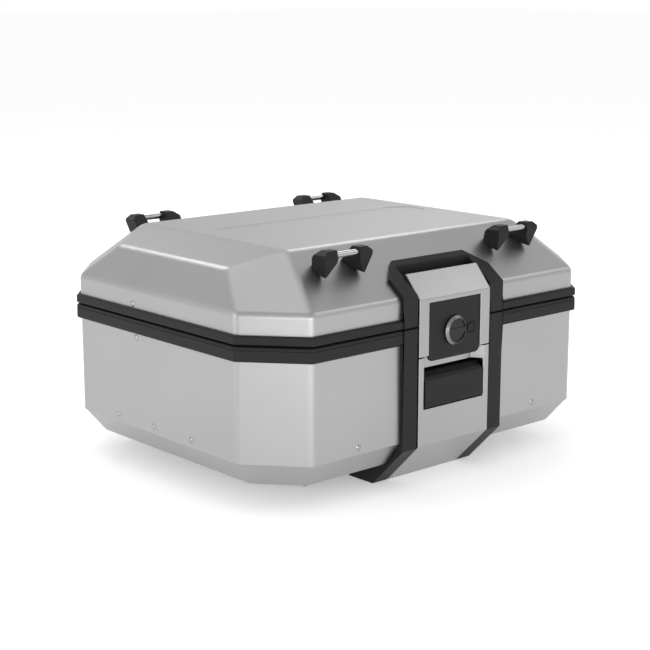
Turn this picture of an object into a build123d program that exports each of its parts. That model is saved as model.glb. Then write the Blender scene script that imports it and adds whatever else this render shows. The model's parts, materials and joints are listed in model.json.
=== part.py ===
"""Aluminium motorcycle top case: octagonal base and lid, front latch, rear hinges, tie-down cleats.

Frame: millimetres, +Z up, origin at the centre of the footprint on the standing surface.
+X runs along the long side, -Y is the latch side and +Y the hinge side.
"""
import os
from math import cos, hypot, radians, sin, sqrt

from build123d import *

# Plan of the case, measured at the black rims
HALF_LENGTH = 250.0
HALF_DEPTH = 201.0
CHAMFER_X = 52.0
CHAMFER_Y = 60.0

# Heights
SHELL_BOTTOM = 26.5  # underside of the aluminium pan, on top of the mounting foot
PAN_BEND = SHELL_BOTTOM + 27.0
PAN_FLANGE_TOP = PAN_BEND + 16.0
BASE_RIM_BOTTOM = 159.3
BASE_TOP = 175.1
LID_BOTTOM = 176.5
LID_RIM_TOP = 186.0
LID_BEND = 207.5
LID_END_RIDGE = 243.8
LID_TOP = 259.9

# Insets from the outer face of the rims, and sheet thickness
SHEET = 2.0
BASE_INSET = 4.2
LID_INSET = 4.0
BOTTOM_INSET = 24.3
RIM_WIDTH = 9.0
TOP_HALF = (168.5, 126.0)
END_RIDGE_HALF = (222.0, 96.0)

# Rear hinge axis
HINGE_Y = 207.0
HINGE_Z = (BASE_TOP + LID_BOTTOM) / 2
HINGE_X = 130.0
HINGE_PIN_R = 2.5
KNUCKLE_R = 4.5
RUNNING = 0.05  # radial clearance of a running fit

# Front latch
POCKET_HALF = 57.0
POCKET_WALL = 2.5
POCKET_BACK = -166.0
FRAME_HALF = 75.3
FRAME_FRONT = -201.4
COVER_HALF = 53.3
COVER_FRONT = -202.3
COVER_SHEET = 2.2
KINK_Z = 45.5
FLAP_PIVOT = (-177.0, 220.5)
FLAP_PIN_R = 2.0
DIAL_Z = 165.5
DIAL_R = 16.0
LEVER_PIVOT = (-200.0, 89.5)
LEVER_PIN_R = 1.5
LEVER_HALF = 44.5
LEVER_BARREL_R = 3.0
ARM_LENGTH = 28.0
ARM_START = 14.0  # degrees behind straight down
ARM_TIP_R = 3.0

# Tie-down cleats
CLEAT_X = 127.0
CLEAT_BAR_Y = 169.8
CLEAT_BAR_Z = 257.6
CLEAT_BAR_R = 3.2
CLEAT_GAP = 15.0
CLEAT_OUTER = 33.0
CLEAT_TOP = 263.0

# Lid straps, from a rivet in the base wall to a rivet in the lid wall
STRAP_BASE = (32.0, 154.0)
STRAP_LID = (37.0, 190.5)
STRAP_X = 238.0
STRAP_SHEET = 1.5
STRAP_WIDTH = 18.0
RIVET_R = 2.0
RIVET_HEAD_R = 3.6

# The origin lies midway between the lock dial's face and the hinge knuckles, so everything moves by this
DIAL_FRONT = COVER_FRONT - 4.0
ORIGIN_Y = -(DIAL_FRONT + HINGE_Y + KNUCKLE_R) / 2

os.makedirs("parts", exist_ok=True)


def save(name, shape):
    """Writes one named piece. Several solids in it are identical pieces or one split piece."""
    solids = shape.solids()
    moved = [Pos(0, ORIGIN_Y, 0) * solid for solid in solids]
    whole = moved[0] if len(moved) == 1 else Compound(children=moved)
    export_step(whole, f"parts/{name}.step")


def block(x0, x1, y0, y1, z0, z1):
    """Box between two corners."""
    centre = ((x0 + x1) / 2, (y0 + y1) / 2, (z0 + z1) / 2)
    return Pos(*centre) * Box(x1 - x0, y1 - y0, z1 - z0)


def octagon(inset):
    """Corners of the case's plan, moved inwards by inset, anticlockwise from the right rear."""
    slant = hypot(CHAMFER_X, CHAMFER_Y)
    x = HALF_LENGTH - inset
    y = HALF_DEPTH - inset
    reach = CHAMFER_Y * HALF_LENGTH + CHAMFER_X * HALF_DEPTH - CHAMFER_X * CHAMFER_Y - inset * slant
    x_cut = (reach - CHAMFER_X * y) / CHAMFER_Y
    y_cut = (reach - CHAMFER_Y * x) / CHAMFER_X
    quarter = [(x, y_cut), (x_cut, y)]
    half = quarter + [(-px, py) for px, py in reversed(quarter)]
    return half + [(-px, -py) for px, py in half]


def octagon_face(inset, z):
    return Pos(0, 0, z) * make_face(Polyline(*octagon(inset), close=True))


def prism(inset, z0, z1):
    """Upright octagonal block."""
    return extrude(octagon_face(inset, z0), z1 - z0, dir=(0, 0, 1))


def ring(outer, inner, z0, z1):
    return prism(outer, z0, z1) - prism(inner, z0 - 1, z1 + 1) if inner else prism(outer, z0, z1)


def taper(inset0, z0, inset1, z1):
    """Octagonal block whose walls lean from one inset to another."""
    return loft([octagon_face(inset0, z0), octagon_face(inset1, z1)], ruled=True)


def profile_x(points, x0, x1):
    """Extrudes a (y, z) outline along X."""
    face = Plane.YZ * make_face(Polyline(*points, close=True))
    return Pos(x0, 0, 0) * extrude(face, x1 - x0, dir=(1, 0, 0))


def rod_x(y, z, radius, x0, x1):
    return Pos((x0 + x1) / 2, y, z) * Rot(0, 90, 0) * Cylinder(radius, abs(x1 - x0))


def rod_y(x, z, radius, y0, y1):
    return Pos(x, (y0 + y1) / 2, z) * Rot(90, 0, 0) * Cylinder(radius, abs(y1 - y0))


def rod_z(x, y, radius, z0, z1):
    return Pos(x, y, (z0 + z1) / 2) * Cylinder(radius, z1 - z0)


def both_sides(shape):
    """The shape and its mirror image across the case's middle plane."""
    return shape + mirror(shape, about=Plane.YZ)


def cut_by(shape, points, thickness=0.0):
    """Keeps the part of a shape on the inner side of a plane through three points.

    The plane is moved towards the case's inside by thickness.
    """
    a, b, c = (Vector(*p) for p in points)
    normal = (b - a).cross(c - a).normalized()
    inside = Vector(0, 0, LID_RIM_TOP)
    if (inside - a).dot(normal) > 0:
        normal = -normal
    plane = Plane(origin=a - normal * thickness, z_dir=normal)
    return split(shape, bisect_by=plane, keep=Keep.BOTTOM)


# ---------------------------------------------------------------- lid facets
BEND_CORNERS = octagon(LID_INSET)
(SIDE_X, SIDE_Y), (FRONT_X, FRONT_Y) = BEND_CORNERS[0], BEND_CORNERS[1]
TOP_X, TOP_Y = TOP_HALF
RIDGE_X, RIDGE_Y = END_RIDGE_HALF
FACET_RISE = LID_TOP - LID_BEND
FACET_RUN = FRONT_Y - TOP_Y
FACET_LENGTH = hypot(FACET_RISE, FACET_RUN)


def lid_block(thickness, z0):
    """Solid lid form. thickness moves every facet inwards, z0 is its lower face."""
    shape = prism(LID_INSET + thickness, z0, LID_TOP - thickness)
    front = [(0, -FRONT_Y, LID_BEND), (1, -FRONT_Y, LID_BEND), (0, -TOP_Y, LID_TOP)]
    ridge = (RIDGE_X, RIDGE_Y, LID_END_RIDGE)
    corner = [(SIDE_X, SIDE_Y, LID_BEND), (FRONT_X, FRONT_Y, LID_BEND), (TOP_X, TOP_Y, LID_TOP)]
    steep_end = [(SIDE_X, 0, LID_BEND), (SIDE_X, 1, LID_BEND), ridge]
    gentle_end = [ridge, (RIDGE_X, 0, LID_END_RIDGE), (TOP_X, 0, LID_TOP)]
    for sign_y in (-1, 1):
        shape = cut_by(shape, [(x, -sign_y * y, z) for x, y, z in front], thickness)
    for sign_x in (-1, 1):
        shape = cut_by(shape, [(sign_x * x, y, z) for x, y, z in steep_end], thickness)
        shape = cut_by(shape, [(sign_x * x, y, z) for x, y, z in gentle_end], thickness)
        for sign_y in (-1, 1):
            turned = [(sign_x * x, sign_y * y, z) for x, y, z in corner]
            shape = cut_by(shape, turned, thickness)
    return shape


def facet_point(along, height):
    """(y, z) of a point on the front facet, along it from the bend and height above it."""
    y = -FRONT_Y + (along * FACET_RUN - height * FACET_RISE) / FACET_LENGTH
    z = LID_BEND + (along * FACET_RISE + height * FACET_RUN) / FACET_LENGTH
    return y, z


def facet_plane(x, along, side):
    """Plane on the front (side -1) or rear (side 1) facet, normal outwards."""
    y, z = facet_point(along, 0)
    normal = (0, side * FACET_RISE / FACET_LENGTH, FACET_RUN / FACET_LENGTH)
    return Plane(origin=(x, -side * y, z), x_dir=(1, 0, 0), z_dir=normal)


# Pocket behind the latch: a notch that the rims and the seal go round
def notch(margin, z0, z1):
    x = POCKET_HALF + margin
    return block(-x, x, -HALF_DEPTH - 5, POCKET_BACK + margin, z0, z1)


def pocket_cut(z0, z1):
    return block(-POCKET_HALF, POCKET_HALF, -HALF_DEPTH - 5, POCKET_BACK, z0, z1)


# ---------------------------------------------------------------- base shell
HINGE_RIVET_X = (-19.0, 19.0)
HINGE_RIVET_Z = (138.0, 195.5)
HINGE_RIVETS = [(sign * HINGE_X + x, HALF_DEPTH, 0, 1) for sign in (-1, 1) for x in HINGE_RIVET_X]
PAN_RIVETS = [(sign * HALF_LENGTH, y, sign, 0) for sign in (-1, 1) for y in (-63.0, 4.0, 71.0)]
PAN_RIVETS += [(x, sign * HALF_DEPTH, 0, sign) for sign in (-1, 1) for x in (-134.0, 134.0)]
PAN_RIVETS += [(0, HALF_DEPTH, 0, 1)]
RIVET_Z = PAN_BEND + 8.0


def wall_rivet(x, y, side_x, side_y, z, inset, grip, radius=RIVET_R):
    """Dome-headed blind rivet through a wall. Its axis points out of the wall."""
    out_x, out_y = (x - side_x * inset, y - side_y * inset)
    plane = Plane(origin=(out_x, out_y, z), z_dir=(side_x, side_y, 0))
    shank = plane * Pos(0, 0, -grip / 2) * Cylinder(radius, grip)
    dome = Pos(0, 0, 1.3 - RIVET_HEAD_R * 1.6) * Sphere(RIVET_HEAD_R * 1.6)
    head = plane * (dome & Pos(0, 0, 0.9) * Cylinder(RIVET_HEAD_R, 1.8))
    tail = plane * Pos(0, 0, -grip - 0.6) * Cylinder(radius * 1.5, 1.2)
    return head + shank + tail


def rivet_holes(shape, places, z, radius=RIVET_R):
    for x, y, side_x, side_y in places:
        plane = Plane(origin=(x, y, z), z_dir=(side_x, side_y, 0))
        shape -= plane * Cylinder(radius, 30)
    return shape


wall = ring(BASE_INSET, BASE_INSET + SHEET, PAN_BEND, BASE_RIM_BOTTOM + 9)
wall -= pocket_cut(0, BASE_TOP)
strap_places = [(-HALF_LENGTH, STRAP_BASE[0], -1, 0), (HALF_LENGTH, STRAP_BASE[0], 1, 0)]
wall = rivet_holes(wall, PAN_RIVETS, RIVET_Z)
wall = rivet_holes(wall, strap_places, STRAP_BASE[1])
wall = rivet_holes(wall, HINGE_RIVETS, HINGE_RIVET_Z[0])

pan = taper(BOTTOM_INSET, SHELL_BOTTOM, BASE_INSET, PAN_BEND)
pan += prism(BASE_INSET + SHEET, PAN_BEND, PAN_FLANGE_TOP)
pan -= taper(BOTTOM_INSET + 2.4, SHELL_BOTTOM + 2.2, BASE_INSET + 2 * SHEET, PAN_BEND + 1)
pan -= prism(BASE_INSET + 2 * SHEET, PAN_BEND + 1, PAN_FLANGE_TOP + 1)
PAN_CUT_Y = -146.0
pan -= block(-POCKET_HALF, POCKET_HALF, -HALF_DEPTH, PAN_CUT_Y, 0, BASE_TOP)
pan = rivet_holes(pan, PAN_RIVETS, RIVET_Z)
FLOOR_TOP = SHELL_BOTTOM + 2.2

# Screws that hold the mounting foot under the pan
FOOT_X, FOOT_Y = 140.0, (-117.9, 140.0)
FOOT_WALL = 3.0
SCREWS = [(x, y) for x in (-118.0, 118.0) for y in (-95.0, 118.0)]
SCREW_R = 2.5
SCREW_HEAD_R = 4.8
SCREW_HEAD = 2.4
foot_screws = Part()
for x, y in SCREWS:
    pan -= rod_z(x, y, SCREW_R, SHELL_BOTTOM - 1, FLOOR_TOP + 1)
    screw = rod_z(x, y, SCREW_R, 10, FLOOR_TOP) + rod_z(x, y, SCREW_HEAD_R, FLOOR_TOP, FLOOR_TOP + SCREW_HEAD)
    screw -= Pos(x, y, FLOOR_TOP + SCREW_HEAD) * extrude(RegularPolygon(2.0, 6), 3, both=True)
    foot_screws += screw
save("base_wall", wall)
save("base_pan", pan)
save("foot_screws", foot_screws)

pan_rivets = Part()
for place in PAN_RIVETS:
    pan_rivets += wall_rivet(*place, RIVET_Z, BASE_INSET, 2 * SHEET)
save("pan_rivets", pan_rivets)

MAT_TOP = FLOOR_TOP + 3.0
mat = prism(BOTTOM_INSET + 6, FLOOR_TOP, MAT_TOP)
mat -= block(-62, 62, -HALF_DEPTH, PAN_CUT_Y + 4, 0, BASE_TOP)
for x, y in SCREWS:
    mat -= rod_z(x, y, SCREW_HEAD_R + 1, FLOOR_TOP - 1, MAT_TOP + 1)
save("floor_mat", mat)

# ---------------------------------------------------------------- rims and seal
GROOVE_Z = BASE_TOP - 4.0


def soften(shape, radius, z_levels):
    """Rounds the outer horizontal edges of a rim at the given heights."""
    edges = []
    for edge in shape.edges():
        centre = edge.center()
        near = any(abs(centre.Z - z) < 0.01 for z in z_levels)
        outside = max(abs(centre.X) / HALF_LENGTH, abs(centre.Y) / HALF_DEPTH) > 0.985
        slant = abs(centre.X) > HALF_LENGTH - CHAMFER_X / 2 - 1 and abs(centre.Y) > HALF_DEPTH - CHAMFER_Y
        if near and (outside or slant):
            edges.append(edge)
    return fillet(edges, radius)


base_rim = soften(prism(0, BASE_RIM_BOTTOM, BASE_TOP), 2.0, (BASE_RIM_BOTTOM, BASE_TOP))
base_rim -= prism(RIM_WIDTH, 0, LID_TOP) - notch(RIM_WIDTH, 0, LID_TOP)
base_rim -= ring(BASE_INSET, BASE_INSET + SHEET, BASE_RIM_BOTTOM - 1, BASE_RIM_BOTTOM + 9)
base_rim -= prism(-2, GROOVE_Z, GROOVE_Z + 0.9) - prism(0.8, GROOVE_Z - 1, GROOVE_Z + 2)
base_rim -= pocket_cut(0, LID_TOP)

LID_SLOT = LID_BOTTOM + 3.5
lid_rim = soften(prism(0, LID_BOTTOM, LID_RIM_TOP), 2.0, (LID_BOTTOM, LID_RIM_TOP))
lid_rim -= prism(RIM_WIDTH, 0, LID_TOP) - notch(RIM_WIDTH, 0, LID_TOP)
lid_rim -= ring(LID_INSET, LID_INSET + SHEET, LID_SLOT, LID_RIM_TOP + 1)
lid_rim -= pocket_cut(0, LID_TOP)


def seal_path(z0, z1):
    """Gasket ring, which runs round the latch pocket."""
    outer = prism(4.5, z0, z1) - notch(4.5, 0, LID_TOP)
    inner = prism(7.7, z0 - 1, z1 + 1) - notch(7.7, 0, LID_TOP)
    return outer - inner


SEAL_DROP = 1.0
lid_rim -= seal_path(LID_BOTTOM - 1, LID_BOTTOM + 2.5)
save("base_rim", base_rim)
save("lid_rim", lid_rim)
save("lid_seal", seal_path(LID_BOTTOM - SEAL_DROP, LID_BOTTOM + 2.5))

# ---------------------------------------------------------------- lid shell
lid = lid_block(0, LID_SLOT) - lid_block(SHEET, LID_SLOT - 1)
strip = block(-118, 118, -34, 34, LID_TOP - 0.6, LID_TOP + 5)
lid -= strip
lid_strap_places = [(-HALF_LENGTH, STRAP_LID[0], -1, 0), (HALF_LENGTH, STRAP_LID[0], 1, 0)]
lid = rivet_holes(lid, lid_strap_places, STRAP_LID[1])
lid = rivet_holes(lid, HINGE_RIVETS, HINGE_RIVET_Z[1])
FRAME_END = 50.2  # how far the latch frame runs up the front facet
opening_end = facet_point(FRAME_END - 6, 0)[0]
lid -= block(-POCKET_HALF, POCKET_HALF, -HALF_DEPTH - 5, opening_end, LID_RIM_TOP - 10, LID_TOP)

# ---------------------------------------------------------------- tie-down cleats
SCREW_ALONG = 56.0
POST_TIP = (-168.5, 235.0)
cleat_screws = Part()


def on_facet(y):
    return (y, LID_BEND + (y + FRONT_Y) * FACET_RISE / FACET_RUN)


def cleat_post(side_x, side_y, outer):
    """Wedge horn on the lid facet. It hangs out over the slope and narrows to a tip."""
    sign = 1 if outer else -1
    centre = side_x * CLEAT_X
    reach = side_x * sign
    outline = [POST_TIP, (-175.5, 255.0), (-173.0, CLEAT_TOP), (-162.0, CLEAT_TOP)]
    outline += [on_facet(-145.0), on_facet(-155.0)]
    post = profile_x(outline, CLEAT_GAP, CLEAT_OUTER)
    middle = (22.0, -162.0, 252.0)
    # flank leaning in towards the tip, back corner, hollow below the bar and chamfer along the top
    post = trim(post, [(32.6, -171.0, 258.0), (29.5, -151.0, 243.0), (27.3, *POST_TIP)], middle)
    post = trim(post, [(29.5, -151.0, 240.0), (29.5, -151.0, 250.0), (20.7, -141.0, 250.0)], middle)
    post = trim(post, [(CLEAT_GAP, -175.0, 250.0), (CLEAT_GAP, -155.0, 247.0), (25.3, *POST_TIP)], middle)
    post = trim(post, [(26.5, -172.0, CLEAT_TOP), (26.5, -160.0, CLEAT_TOP), (32.6, -171.0, 258.5)], middle)
    post -= rod_x(-CLEAT_BAR_Y, CLEAT_BAR_Z, CLEAT_BAR_R, CLEAT_GAP - 1, CLEAT_GAP + 9)
    if reach < 0:
        post = mirror(post, about=Plane.YZ)
    if side_y > 0:
        post = mirror(post, about=Plane.XZ)
    return Pos(centre, 0, 0) * post


def trim(shape, points, kept):
    """Cuts a shape by the plane through three points and keeps the side of the point kept."""
    a, b, c = (Vector(*p) for p in points)
    normal = (b - a).cross(c - a).normalized()
    if (Vector(*kept) - a).dot(normal) > 0:
        normal = -normal
    return split(shape, bisect_by=Plane(origin=a, z_dir=normal), keep=Keep.BOTTOM)


SIDES = {"left": -1, "right": 1}
ENDS = {"front": -1, "rear": 1}
for end, side_y in ENDS.items():
    for side, side_x in SIDES.items():
        bar = rod_x(side_y * CLEAT_BAR_Y, CLEAT_BAR_Z, CLEAT_BAR_R, -CLEAT_GAP - 8.5, CLEAT_GAP + 8.5)
        save(f"cleat_bar_{end}_{side}", Pos(side_x * CLEAT_X, 0, 0) * bar)
        for place, outer in (("inner", False), ("outer", True)):
            post = cleat_post(side_x, side_y, outer)
            x = side_x * (CLEAT_X + (24.5 if outer else -24.5))
            plane = facet_plane(x, SCREW_ALONG, side_y)
            hole = plane * Pos(0, 0, 2) * Cylinder(RIVET_R, 12)
            lid -= hole
            screw = plane * Pos(0, 0, 1.9) * Cylinder(RIVET_R, 11.8 - 4)
            screw += plane * Pos(0, 0, -SHEET - 1.2) * Cylinder(SCREW_HEAD_R - 0.8, 2.4)
            cleat_screws += screw
            save(f"cleat_post_{end}_{side}_{place}", post - hole)
save("lid_shell", lid)
save("cleat_screws", cleat_screws)

# ---------------------------------------------------------------- latch housings
# Flange that frames the latch: proud of the lid wall and facet, with chamfered upper corners
FRAME_PROUD = 4.2
lid_wall = -HALF_DEPTH + LID_INSET
start = facet_point(0, FRAME_PROUD)
slope_start = start[1] + (FRAME_FRONT - start[0]) * FACET_RISE / FACET_RUN
frame_outline = [(FRAME_FRONT, LID_BOTTOM), (FRAME_FRONT, slope_start), facet_point(FRAME_END, FRAME_PROUD)]
frame_outline += [facet_point(FRAME_END, 0), (-FRONT_Y, LID_BEND), (lid_wall, LID_RIM_TOP)]
frame_outline += [(-HALF_DEPTH, LID_RIM_TOP), (-HALF_DEPTH, LID_BOTTOM)]
frame = profile_x(frame_outline, -FRAME_HALF, FRAME_HALF)
corner_low = facet_point(25.7, 0)
corner_high = facet_point(FRAME_END, 0)
for sign in (-1, 1):
    cut = [(sign * FRAME_HALF, *corner_low), (sign * FRAME_HALF, *facet_point(25.7, 5))]
    cut.append((sign * 53.4, *corner_high))
    frame = trim(frame, cut, (0, *facet_point(10, 0)))
WINDOW = COVER_HALF + 1.1
bar_inner = facet_point(FRAME_END - 11.5, 0)
frame -= block(-WINDOW, WINDOW, -HALF_DEPTH - 5, bar_inner[0], 0, LID_TOP)
# Pocket shell behind the frame
back_low = facet_point(FRAME_END - 6, -SHEET)
shell_outline = [(lid_wall, LID_BOTTOM), (POCKET_BACK, LID_BOTTOM), (POCKET_BACK, 200.0)]
shell_outline += [(opening_end, 208.0), facet_point(FRAME_END - 6, 0), (-FRONT_Y, LID_BEND)]
pocket = profile_x(shell_outline, -POCKET_HALF, POCKET_HALF)
hollow = [(lid_wall - 2, LID_BOTTOM - 1), (POCKET_BACK - POCKET_WALL, LID_BOTTOM - 1)]
hollow += [(POCKET_BACK - POCKET_WALL, 201.0), (bar_inner[0], 209.5), (bar_inner[0], 240.0)]
hollow += [(lid_wall - 2, 240.0)]
pocket -= profile_x(hollow, -POCKET_HALF + POCKET_WALL, POCKET_HALF - POCKET_WALL)
lid_housing = frame + pocket
for sign in (-1, 1):
    lid_housing -= rod_x(*FLAP_PIVOT, FLAP_PIN_R, sign * 50, sign * (POCKET_HALF - 0.5))
save("lid_latch_housing", lid_housing)
save("flap_pin", rod_x(*FLAP_PIVOT, FLAP_PIN_R, -POCKET_HALF + 0.5, POCKET_HALF - 0.5))

base_wall_y = -HALF_DEPTH + BASE_INSET
bottom_y = -HALF_DEPTH + BOTTOM_INSET
tail_y = FRAME_FRONT + KINK_Z
FOOT_FRONT = FOOT_Y[0]
rail_outline = [(FRAME_FRONT, BASE_TOP), (FRAME_FRONT, KINK_Z), (tail_y, 0), (FOOT_FRONT, 0)]
rail_outline += [(FOOT_FRONT, SHELL_BOTTOM), (bottom_y, SHELL_BOTTOM), (base_wall_y, PAN_BEND)]
rail_outline += [(base_wall_y, BASE_RIM_BOTTOM), (-HALF_DEPTH, BASE_RIM_BOTTOM), (-HALF_DEPTH, BASE_TOP)]
rail = profile_x(rail_outline, WINDOW, FRAME_HALF)
pocket_outline = [(base_wall_y, BASE_TOP), (POCKET_BACK, BASE_TOP), (POCKET_BACK, 66.0)]
pocket_outline += [(PAN_CUT_Y, 46.0), (PAN_CUT_Y, SHELL_BOTTOM), (bottom_y, SHELL_BOTTOM)]
pocket_outline += [(base_wall_y, PAN_BEND)]
base_pocket = profile_x(pocket_outline, -POCKET_HALF, POCKET_HALF)
inner = [(-HALF_DEPTH - 5, BASE_TOP + 1), (POCKET_BACK - POCKET_WALL, BASE_TOP + 1)]
inner += [(POCKET_BACK - POCKET_WALL, 65.0), (PAN_CUT_Y - POCKET_WALL, 45.0)]
inner += [(PAN_CUT_Y - POCKET_WALL, 0), (-HALF_DEPTH - 5, 0)]
base_pocket -= profile_x(inner, -POCKET_HALF + POCKET_WALL, POCKET_HALF - POCKET_WALL)
base_housing = both_sides(rail) + base_pocket
save("base_latch_housing", base_housing)

# ---------------------------------------------------------------- lower panel
PANEL_TOP = 142.0
panel_outline = [(COVER_FRONT, PANEL_TOP), (COVER_FRONT, KINK_Z + 0.5), (COVER_FRONT + KINK_Z + 0.5, 0)]
panel_outline += [(COVER_FRONT + KINK_Z + 3.6, 0), (COVER_FRONT + COVER_SHEET, KINK_Z + 1.4)]
panel_outline += [(COVER_FRONT + COVER_SHEET, PANEL_TOP)]
panel = profile_x(panel_outline, -COVER_HALF, COVER_HALF)
LEVER_BOTTOM, LEVER_TOP = 86.0, 118.0
RECESS_HALF = 46.0
RECESS_BACK = -190.5
TUB_BOTTOM = 127.0
recess = block(-RECESS_HALF, RECESS_HALF, -HALF_DEPTH - 5, RECESS_BACK, LEVER_BOTTOM, PANEL_TOP + 1)
for sign in (-1, 1):
    # the recess's side walls lean outwards, so it is wider at the front
    side = [(sign * RECESS_HALF, COVER_FRONT, 0), (sign * RECESS_HALF, COVER_FRONT, 9)]
    side.append((sign * (RECESS_HALF - 8), RECESS_BACK, 0))
    recess = trim(recess, side, (0, RECESS_BACK, 100))
tub = block(-RECESS_HALF - 2, RECESS_HALF + 2, COVER_FRONT + COVER_SHEET, RECESS_BACK + 2, TUB_BOTTOM, PANEL_TOP)
panel = panel + tub - recess
panel -= block(-LEVER_HALF - 0.6, LEVER_HALF + 0.6, -HALF_DEPTH - 5, -195, LEVER_BOTTOM, TUB_BOTTOM)
# Bosses for the lever's pin
lever_y, lever_z = LEVER_PIVOT
boss = block(LEVER_HALF + 0.6, LEVER_HALF + 4.6, COVER_FRONT + COVER_SHEET, lever_y + 4.5, lever_z - 4, lever_z + 4)
panel += both_sides(boss)
panel -= rod_x(lever_y, lever_z, LEVER_PIN_R, -LEVER_HALF - 4, LEVER_HALF + 4)
save("lower_panel", panel)
save("lever_pin", rod_x(lever_y, lever_z, LEVER_PIN_R, -LEVER_HALF - 4, LEVER_HALF + 4))

# ---------------------------------------------------------------- release lever
tip_y = lever_y + ARM_LENGTH * sin(radians(ARM_START))
tip_z = lever_z - ARM_LENGTH * cos(radians(ARM_START))
paddle = profile_x([(lever_y - LEVER_BARREL_R, lever_z), (lever_y - LEVER_BARREL_R, LEVER_TOP - 1.5),
                    (lever_y - LEVER_BARREL_R + 1.5, LEVER_TOP), (lever_y - 0.5, LEVER_TOP - 1.5),
                    (lever_y + 1, LEVER_TOP + 1.5), (RECESS_BACK - 0.6, LEVER_TOP + 6.0),
                    (RECESS_BACK - 0.6, LEVER_TOP + 3.0),
                    (lever_y + LEVER_BARREL_R, lever_z + 6), (lever_y + LEVER_BARREL_R, lever_z)],
                   -LEVER_HALF, LEVER_HALF)
paddle += rod_x(lever_y, lever_z, LEVER_BARREL_R, -LEVER_HALF, LEVER_HALF)
arm = profile_x([(lever_y + 0.5, lever_z), (lever_y + 3, lever_z + 1), (tip_y + 2.9, tip_z), (tip_y - 2.6, tip_z)],
                -6, 6)
paddle += arm + rod_x(tip_y, tip_z, ARM_TIP_R, -6, 6)
paddle -= rod_x(lever_y, lever_z, LEVER_PIN_R + RUNNING, -LEVER_HALF - 1, LEVER_HALF + 1)
save("release_lever", paddle)

# ---------------------------------------------------------------- mounting bolt and foot
BOLT_HALF = 8.0
BOLT_SHEET = 3.0
pad_y = tip_y + ARM_TIP_R + 0.25
bolt_outline = [(pad_y, 70), (pad_y, 52), (pad_y + 35, 17), (-133, 17), (-133, 9), (-137, 9), (-137, 7.5)]
bolt_outline += [(-133, 5), (-128, 5), (-128, 20)]
bolt_outline += [(pad_y + 36.25, 20), (pad_y + BOLT_SHEET, 53.25), (pad_y + BOLT_SHEET, 70)]
mount_bolt = profile_x(bolt_outline, -BOLT_HALF, BOLT_HALF)
SPRING_Y, SPRING_END = -128.0, -98.0
SPRING_Z = 14.0
mount_bolt += rod_y(0, SPRING_Z, 2.0, SPRING_Y, SPRING_Y + 8)
save("mount_bolt", mount_bolt)
spring = rod_y(0, SPRING_Z, 4.0, SPRING_Y + 0.3, SPRING_END) - rod_y(0, SPRING_Z, 2.8, SPRING_Y, SPRING_END + 1)
save("bolt_spring", spring)

foot = block(-FOOT_X, FOOT_X, *FOOT_Y, 0, SHELL_BOTTOM)
foot = chamfer(foot.edges().group_by(Axis.Z)[0], 4.0)
cells_x = [-FOOT_X, -101.0, -62.0, -23.0, 23.0, 62.0, 101.0, FOOT_X]
cells_y = [FOOT_Y[0], -74.0, -31.0, 12.0, 55.0, 98.0, FOOT_Y[1]]
for x0, x1 in zip(cells_x, cells_x[1:]):
    for y0, y1 in zip(cells_y, cells_y[1:]):
        half = FOOT_WALL / 2
        edge_x0 = FOOT_WALL + 3 if x0 == -FOOT_X else half
        edge_x1 = FOOT_WALL + 3 if x1 == FOOT_X else half
        edge_y0 = FOOT_WALL + 3 if y0 == FOOT_Y[0] else half
        edge_y1 = FOOT_WALL + 3 if y1 == FOOT_Y[1] else half
        foot -= block(x0 + edge_x0, x1 - edge_x1, y0 + edge_y0, y1 - edge_y1, FOOT_WALL, SHELL_BOTTOM + 1)
for x, y in SCREWS:
    foot += rod_z(x, y, 7.0, 0, SHELL_BOTTOM)
    foot -= rod_z(x, y, SCREW_R, 10, SHELL_BOTTOM + 1)
# Sockets that drop over the two hooks of a mounting plate
HOOK_X, HOOK_Y = 47.0, 100.0
for sign in (-1, 1):
    foot += block(sign * HOOK_X - 17, sign * HOOK_X + 17, HOOK_Y - 14, HOOK_Y + 14, 0, 19)
    foot -= block(sign * HOOK_X - 13, sign * HOOK_X + 13, HOOK_Y - 10, HOOK_Y + 4, -1, 16)
    foot -= block(sign * HOOK_X - 13, sign * HOOK_X + 13, HOOK_Y - 10, HOOK_Y + 10, 5, 16)
# Block at the front of the foot that seats the spring, and the bolt's housing in front of it
foot += block(-14, 14, FOOT_Y[0], -88, 0, SHELL_BOTTOM - 1)
housing = block(-WINDOW + 0.5, WINDOW - 0.5, -148, FOOT_Y[0], 0, SHELL_BOTTOM)
channel = block(-BOLT_HALF - 0.5, BOLT_HALF + 0.5, -149, -107, 13, SHELL_BOTTOM + 1)
channel += block(-12, 12, -145, -107, -1, 13.5)
foot -= channel + rod_y(0, SPRING_Z, 5.0, -108, SPRING_END)
save("mounting_foot", foot)
save("bolt_housing", housing - channel)

# ---------------------------------------------------------------- latch flap
flap_y, flap_z = FLAP_PIVOT
COVER_BOTTOM = 143.0
COVER_BEND = 204.3
COVER_TOP_EDGE = (-181.0, 229.0)
FLAP_EAR = 6.0
run = COVER_TOP_EDGE[0] - COVER_FRONT
rise = COVER_TOP_EDGE[1] - COVER_BEND
slope = hypot(run, rise)
inward = (rise / slope * COVER_SHEET, -run / slope * COVER_SHEET)
bend_in = (COVER_FRONT + COVER_SHEET, COVER_BEND - 0.9)
cover_outline = [(COVER_FRONT, COVER_BOTTOM), (COVER_FRONT, COVER_BEND), COVER_TOP_EDGE]
cover_outline += [(COVER_TOP_EDGE[0] + inward[0], COVER_TOP_EDGE[1] + inward[1]), bend_in]
cover_outline += [(COVER_FRONT + COVER_SHEET, COVER_BOTTOM)]
cover = profile_x(cover_outline, -COVER_HALF, COVER_HALF)
cheek_outline = [(COVER_FRONT, COVER_BEND - 14), (COVER_FRONT, COVER_BEND), COVER_TOP_EDGE]
cheek_outline += [(flap_y + 4.5, flap_z + 3.5), (flap_y + 4.5, flap_z - 4), (flap_y - 5, flap_z - 5)]
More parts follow.
